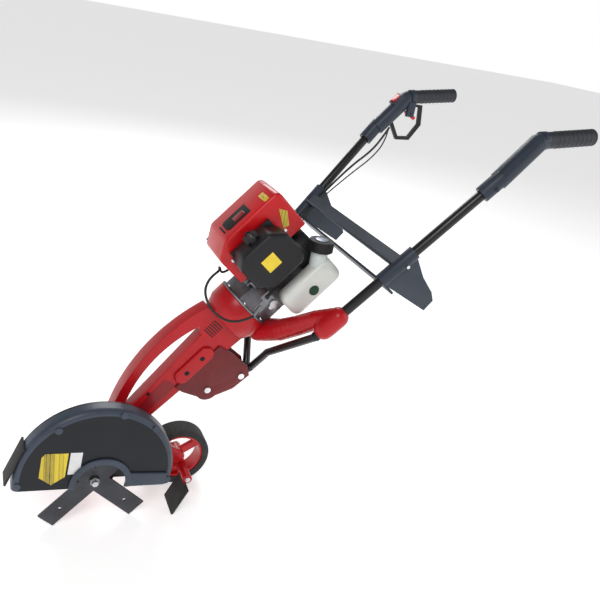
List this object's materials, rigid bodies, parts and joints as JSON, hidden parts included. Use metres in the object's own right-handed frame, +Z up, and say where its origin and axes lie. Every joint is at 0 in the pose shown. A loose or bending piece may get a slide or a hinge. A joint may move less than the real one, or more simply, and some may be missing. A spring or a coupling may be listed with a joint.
{
  "type": "lawn edger",
  "caption": "Walk-behind petrol lawn edger with a slanted red chassis, half-round blade guard, side engine controls and two splayed handles.",
  "frame": {"origin": "centre of the bottom of the bounding box, on the ground under the machine", "axes": "+Z up, +X towards the operator's handles, +Y to the operator's right when facing the front (-X)"},
  "size_m": [1.0298, 0.502, 0.9028],
  "materials": {
    "steel_dark": "satin",
    "steel_bright": "satin",
    "red_casting": "gloss",
    "black_screws": "satin",
    "guard_dark": "satin",
    "black_rubber": "matte",
    "red_paint": "gloss",
    "red_plastic": "gloss",
    "dark_red_plastic": "satin",
    "chrome_bolts": "polished",
    "bare_aluminium": "satin",
    "black_plastic": "satin",
    "foam_dark": "matte",
    "tank_white": "satin",
    "black_paint": "gloss",
    "slate_plastic": "satin",
    "slate_rubber": "matte"
  },
  "bodies": {
    "frame": {"gear_case": "red_casting", "gear_case_cover": "red_casting", "cutting_end_screws": "black_screws", "shaft_bearings": "steel_bright", "blade_guard": "guard_dark", "guard_backplate": "guard_dark", "front_flap": "black_rubber", "chassis_left_shell": "red_paint", "chassis_right_shell": "red_paint", "lower_bracket": "dark_red_plastic", "frame_bolts": "chrome_bolts", "clutch_housing": "red_paint", "crankcase": "bare_aluminium", "cylinder": "bare_aluminium", "spark_plug": "black_plastic", "top_shroud": "red_plastic", "engine_screws": "chrome_bolts", "fan_housing": "black_plastic", "recoil_housing": "black_plastic", "air_cleaner_base": "black_plastic", "air_filter": "foam_dark", "air_cleaner_cover": "black_plastic", "fuel_tank": "tank_white", "carburettor": "bare_aluminium", "muffler": "steel_dark", "handle_tubes": "black_paint", "fork_bars": "black_paint", "shoulders": "red_paint", "cross_brace": "slate_plastic", "right_console": "slate_plastic", "right_grip": "slate_rubber", "trigger_guard": "black_plastic", "throttle_cable": "black_rubber", "stop_wire": "black_rubber"},
    "blade_assembly": {"blade": "steel_dark", "arbor": "steel_bright", "blade_clamp": "steel_bright", "bevel_gear": "steel_bright"},
    "drive_line": {"pinion_shaft": "steel_bright", "clutch_drum": "steel_bright"},
    "crank": {"crankshaft": "steel_bright", "flywheel_fan": "bare_aluminium"},
    "shoe_upper": {"clutch_shoe_upper": "steel_dark"},
    "shoe_lower": {"clutch_shoe_lower": "steel_dark"},
    "axle_arm": {"wheel_arm": "red_paint", "axle": "steel_bright", "rear_flap": "black_rubber"},
    "wheel": {"tyre": "black_rubber", "wheel_hub": "red_plastic"},
    "left_handgrip": {"left_console": "slate_plastic", "left_grip": "slate_rubber"},
    "trigger": {"throttle_trigger": "red_plastic"},
    "switch_rocker": {"stop_switch": "red_plastic"},
    "filler_cap": {"fuel_cap": "black_plastic"},
    "choke": {"choke_lever": "black_plastic"},
    "throttle_arm": {"throttle_lever": "steel_bright"},
    "starter": {"starter_handle": "black_plastic"},
    "reel": {"recoil_reel": "black_plastic"},
    "latch": {"cleaner_latch": "black_plastic"}
  },
  "joints": [
    {"name": "blade_spin", "type": "hinge", "parent": "frame", "child": "blade_assembly", "pos_m": [-0.3502, 0, 0.10282], "axis": [0, 1, 0], "continuous": true},
    {"name": "drive_shaft_spin", "type": "hinge", "parent": "frame", "child": "drive_line", "pos_m": [-0.3502, 0, 0.10282], "axis": [0.6691, 0, 0.7431], "continuous": true},
    {"name": "crank_spin", "type": "hinge", "parent": "frame", "child": "crank", "pos_m": [-0.00225, 0, 0.48926], "axis": [0.6691, 0, 0.7431], "continuous": true},
    {"name": "shoe_upper_slide", "type": "slide", "parent": "crank", "child": "shoe_upper", "axis": [-0.7431, 0, 0.6691], "range_m": [0, 0.0025], "stiffness_N_per_m": 2000},
    {"name": "shoe_lower_slide", "type": "slide", "parent": "crank", "child": "shoe_lower", "axis": [0.7431, 0, -0.6691], "range_m": [0, 0.0025], "stiffness_N_per_m": 2000},
    {"name": "arm_swing", "type": "hinge", "parent": "frame", "child": "axle_arm", "pos_m": [-0.26531, 0, 0.13135], "axis": [0, 1, 0], "range_deg": [-10, 15]},
    {"name": "wheel_spin", "type": "hinge", "parent": "axle_arm", "child": "wheel", "pos_m": [-0.1572, -0.002, 0.069], "axis": [0, 1, 0], "continuous": true},
    {"name": "left_handgrip_turn", "type": "hinge", "parent": "frame", "child": "left_handgrip", "pos_m": [0.0418, -0.178, 0.45482], "axis": [0.6285, -0.1236, 0.7679], "range_deg": [-25, 25]},
    {"name": "trigger_pull", "type": "hinge", "parent": "frame", "child": "trigger", "pos_m": [0.3928, 0.227, 0.83382], "axis": [0, 1, 0], "range_deg": [-18, 0], "stiffness_Nm_per_rad": 0.6, "springref_deg": 8.59},
    {"name": "stop_switch_rock", "type": "hinge", "parent": "frame", "child": "switch_rocker", "pos_m": [0.35666, 0.23, 0.86004], "axis": [0, 1, 0], "range_deg": [-6, 6]},
    {"name": "fuel_cap_turn", "type": "hinge", "parent": "frame", "child": "filler_cap", "pos_m": [0.0608, -0.079, 0.59782], "axis": [0, 0, 1], "range_deg": [0, 340]},
    {"name": "choke_turn", "type": "hinge", "parent": "frame", "child": "choke", "pos_m": [-0.04276, -0.0945, 0.49209], "axis": [0, 1, 0], "range_deg": [-30, 30]},
    {"name": "throttle_arm_turn", "type": "hinge", "parent": "frame", "child": "throttle_arm", "pos_m": [-0.02641, -0.095, 0.47737], "axis": [0, 1, 0], "range_deg": [0, 45]},
    {"name": "starter_pull", "type": "slide", "parent": "frame", "child": "starter", "axis": [0, 1, 0], "range_m": [0, 0.03]},
    {"name": "reel_turn", "type": "hinge", "parent": "frame", "child": "reel", "pos_m": [0.06867, 0, 0.56803], "axis": [0.6691, 0, 0.7431], "range_deg": [-80, 2]},
    {"name": "latch_turn", "type": "hinge", "parent": "frame", "child": "latch", "pos_m": [-0.09328, -0.084, 0.61159], "axis": [0, 1, 0], "range_deg": [-12, 12]}
  ],
  "couplings": [
    {"joint": "drive_shaft_spin", "follows": "blade_spin", "ratio": 2},
    {"joint": "shoe_lower_slide", "follows": "shoe_upper_slide", "ratio": 1},
    {"joint": "throttle_arm_turn", "follows": "trigger_pull", "ratio": -2.4},
    {"joint": "reel_turn", "follows": "starter_pull", "rad_per_m": -44}
  ]
}
